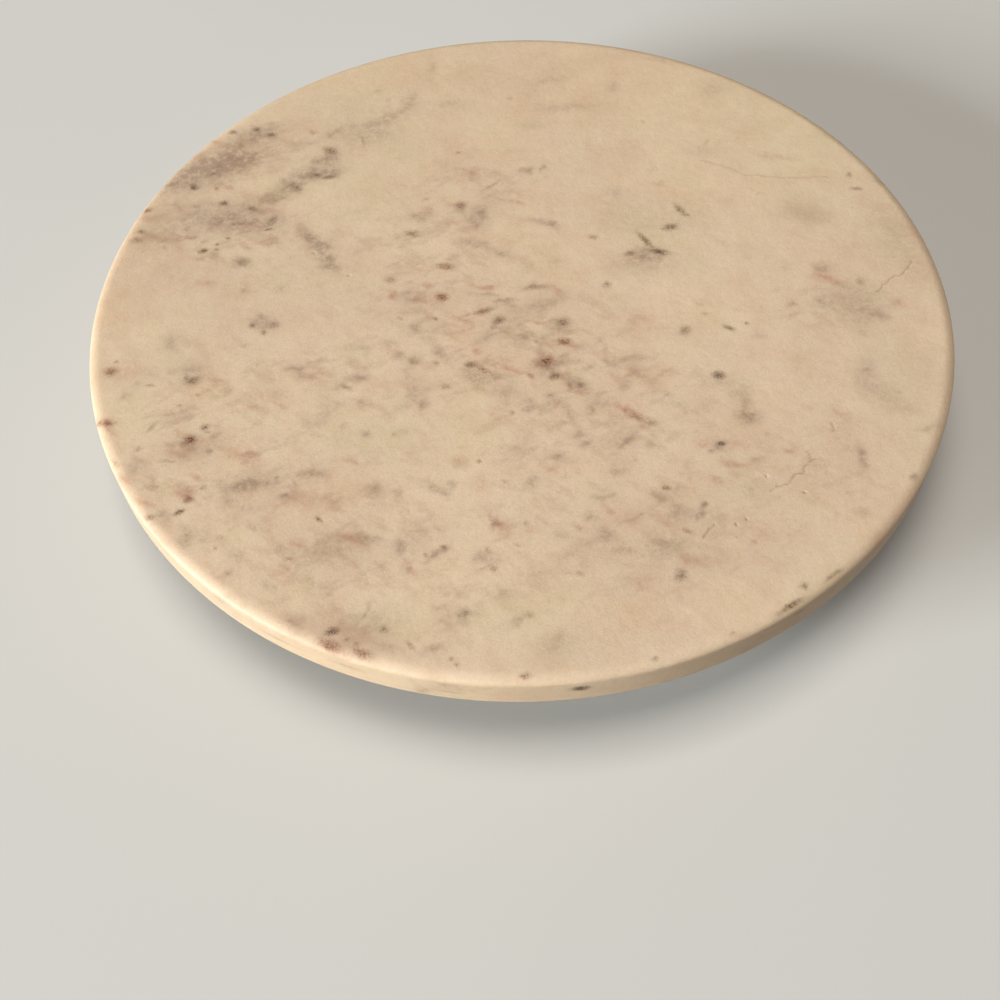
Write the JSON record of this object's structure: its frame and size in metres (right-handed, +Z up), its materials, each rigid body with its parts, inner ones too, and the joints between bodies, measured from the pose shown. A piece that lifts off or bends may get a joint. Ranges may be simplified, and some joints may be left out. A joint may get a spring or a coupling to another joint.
{
  "type": "lazy susan turntable",
  "caption": "Round marble lazy susan: a thick stone disc with an eased edge turns on a hidden ball bearing over a smaller stone base on rubber feet.",
  "frame": {"origin": "on the table surface, under the spin axis, level with the bottom of the feet", "axes": "+Z up along the spin axis; the screws and feet stand at equal distances in X and Y, and one ball on +X"},
  "size_m": [0.305, 0.305, 0.0447],
  "materials": {
    "marble": "honed cream marble",
    "plated_steel": "zinc plated",
    "fastener_steel": "zinc plated",
    "ball_steel": "polished",
    "nylon": "natural nylon",
    "rubber": "moulded black rubber"
  },
  "bodies": {
    "base": {"base_disc": "marble", "lower_plate": "plated_steel", "pivot_bush": "nylon", "base_screws": "fastener_steel", "foot_washers": "fastener_steel", "foot_front_left": "rubber", "foot_front_right": "rubber", "foot_back_right": "rubber", "foot_back_left": "rubber"},
    "turntable": {"turntable_top": "marble", "upper_plate": "plated_steel", "pivot_rivet": "plated_steel", "rivet_washer": "plated_steel", "top_screws": "fastener_steel", "screw_anchors": "nylon"},
    "cage": {"ball_cage": "nylon"},
    "ball_01": {"ball_01": "ball_steel"},
    "ball_02": {"ball_02": "ball_steel"},
    "ball_03": {"ball_03": "ball_steel"},
    "ball_04": {"ball_04": "ball_steel"},
    "ball_05": {"ball_05": "ball_steel"},
    "ball_06": {"ball_06": "ball_steel"},
    "ball_07": {"ball_07": "ball_steel"},
    "ball_08": {"ball_08": "ball_steel"},
    "ball_09": {"ball_09": "ball_steel"},
    "ball_10": {"ball_10": "ball_steel"},
    "ball_11": {"ball_11": "ball_steel"},
    "ball_12": {"ball_12": "ball_steel"},
    "ball_13": {"ball_13": "ball_steel"},
    "ball_14": {"ball_14": "ball_steel"},
    "ball_15": {"ball_15": "ball_steel"},
    "ball_16": {"ball_16": "ball_steel"},
    "ball_17": {"ball_17": "ball_steel"},
    "ball_18": {"ball_18": "ball_steel"},
    "ball_19": {"ball_19": "ball_steel"},
    "ball_20": {"ball_20": "ball_steel"}
  },
  "joints": [
    {"name": "top_spin", "type": "hinge", "parent": "base", "child": "turntable", "pos_m": [0, 0, 0.0447], "axis": [0, 0, 1], "continuous": true},
    {"name": "cage_spin", "type": "hinge", "parent": "base", "child": "cage", "pos_m": [0, 0, 0.02685], "axis": [0, 0, 1], "continuous": true},
    {"name": "ball_01_roll", "type": "hinge", "parent": "cage", "child": "ball_01", "pos_m": [0.052, 0, 0.02685], "axis": [1, 0, 0], "continuous": true},
    {"name": "ball_02_roll", "type": "hinge", "parent": "cage", "child": "ball_02", "pos_m": [0.04945, 0.01607, 0.02685], "axis": [0.9511, 0.309, 0], "continuous": true},
    {"name": "ball_03_roll", "type": "hinge", "parent": "cage", "child": "ball_03", "pos_m": [0.04207, 0.03056, 0.02685], "axis": [0.809, 0.5878, 0], "continuous": true},
    {"name": "ball_04_roll", "type": "hinge", "parent": "cage", "child": "ball_04", "pos_m": [0.03056, 0.04207, 0.02685], "axis": [0.5878, 0.809, 0], "continuous": true},
    {"name": "ball_05_roll", "type": "hinge", "parent": "cage", "child": "ball_05", "pos_m": [0.01607, 0.04945, 0.02685], "axis": [0.309, 0.9511, 0], "continuous": true},
    {"name": "ball_06_roll", "type": "hinge", "parent": "cage", "child": "ball_06", "pos_m": [0, 0.052, 0.02685], "axis": [0, 1, 0], "continuous": true},
    {"name": "ball_07_roll", "type": "hinge", "parent": "cage", "child": "ball_07", "pos_m": [-0.01607, 0.04945, 0.02685], "axis": [-0.309, 0.9511, 0], "continuous": true},
    {"name": "ball_08_roll", "type": "hinge", "parent": "cage", "child": "ball_08", "pos_m": [-0.03056, 0.04207, 0.02685], "axis": [-0.5878, 0.809, 0], "continuous": true},
    {"name": "ball_09_roll", "type": "hinge", "parent": "cage", "child": "ball_09", "pos_m": [-0.04207, 0.03056, 0.02685], "axis": [-0.809, 0.5878, 0], "continuous": true},
    {"name": "ball_10_roll", "type": "hinge", "parent": "cage", "child": "ball_10", "pos_m": [-0.04945, 0.01607, 0.02685], "axis": [-0.9511, 0.309, 0], "continuous": true},
    {"name": "ball_11_roll", "type": "hinge", "parent": "cage", "child": "ball_11", "pos_m": [-0.052, 0, 0.02685], "axis": [-1, 0, 0], "continuous": true},
    {"name": "ball_12_roll", "type": "hinge", "parent": "cage", "child": "ball_12", "pos_m": [-0.04945, -0.01607, 0.02685], "axis": [-0.9511, -0.309, 0], "continuous": true},
    {"name": "ball_13_roll", "type": "hinge", "parent": "cage", "child": "ball_13", "pos_m": [-0.04207, -0.03056, 0.02685], "axis": [-0.809, -0.5878, 0], "continuous": true},
    {"name": "ball_14_roll", "type": "hinge", "parent": "cage", "child": "ball_14", "pos_m": [-0.03056, -0.04207, 0.02685], "axis": [-0.5878, -0.809, 0], "continuous": true},
    {"name": "ball_15_roll", "type": "hinge", "parent": "cage", "child": "ball_15", "pos_m": [-0.01607, -0.04945, 0.02685], "axis": [-0.309, -0.9511, 0], "continuous": true},
    {"name": "ball_16_roll", "type": "hinge", "parent": "cage", "child": "ball_16", "pos_m": [0, -0.052, 0.02685], "axis": [0, -1, 0], "continuous": true},
    {"name": "ball_17_roll", "type": "hinge", "parent": "cage", "child": "ball_17", "pos_m": [0.01607, -0.04945, 0.02685], "axis": [0.309, -0.9511, 0], "continuous": true},
    {"name": "ball_18_roll", "type": "hinge", "parent": "cage", "child": "ball_18", "pos_m": [0.03056, -0.04207, 0.02685], "axis": [0.5878, -0.809, 0], "continuous": true},
    {"name": "ball_19_roll", "type": "hinge", "parent": "cage", "child": "ball_19", "pos_m": [0.04207, -0.03056, 0.02685], "axis": [0.809, -0.5878, 0], "continuous": true},
    {"name": "ball_20_roll", "type": "hinge", "parent": "cage", "child": "ball_20", "pos_m": [0.04945, -0.01607, 0.02685], "axis": [0.9511, -0.309, 0], "continuous": true}
  ],
  "couplings": [
    {"joint": "cage_spin", "follows": "top_spin", "ratio": 0.5},
    {"joint": "ball_01_roll", "follows": "top_spin", "ratio": -8.6667},
    {"joint": "ball_02_roll", "follows": "top_spin", "ratio": -8.6667},
    {"joint": "ball_03_roll", "follows": "top_spin", "ratio": -8.6667},
    {"joint": "ball_04_roll", "follows": "top_spin", "ratio": -8.6667},
    {"joint": "ball_05_roll", "follows": "top_spin", "ratio": -8.6667},
    {"joint": "ball_06_roll", "follows": "top_spin", "ratio": -8.6667},
    {"joint": "ball_07_roll", "follows": "top_spin", "ratio": -8.6667},
    {"joint": "ball_08_roll", "follows": "top_spin", "ratio": -8.6667},
    {"joint": "ball_09_roll", "follows": "top_spin", "ratio": -8.6667},
    {"joint": "ball_10_roll", "follows": "top_spin", "ratio": -8.6667},
    {"joint": "ball_11_roll", "follows": "top_spin", "ratio": -8.6667},
    {"joint": "ball_12_roll", "follows": "top_spin", "ratio": -8.6667},
    {"joint": "ball_13_roll", "follows": "top_spin", "ratio": -8.6667},
    {"joint": "ball_14_roll", "follows": "top_spin", "ratio": -8.6667},
    {"joint": "ball_15_roll", "follows": "top_spin", "ratio": -8.6667},
    {"joint": "ball_16_roll", "follows": "top_spin", "ratio": -8.6667},
    {"joint": "ball_17_roll", "follows": "top_spin", "ratio": -8.6667},
    {"joint": "ball_18_roll", "follows": "top_spin", "ratio": -8.6667},
    {"joint": "ball_19_roll", "follows": "top_spin", "ratio": -8.6667},
    {"joint": "ball_20_roll", "follows": "top_spin", "ratio": -8.6667}
  ]
}
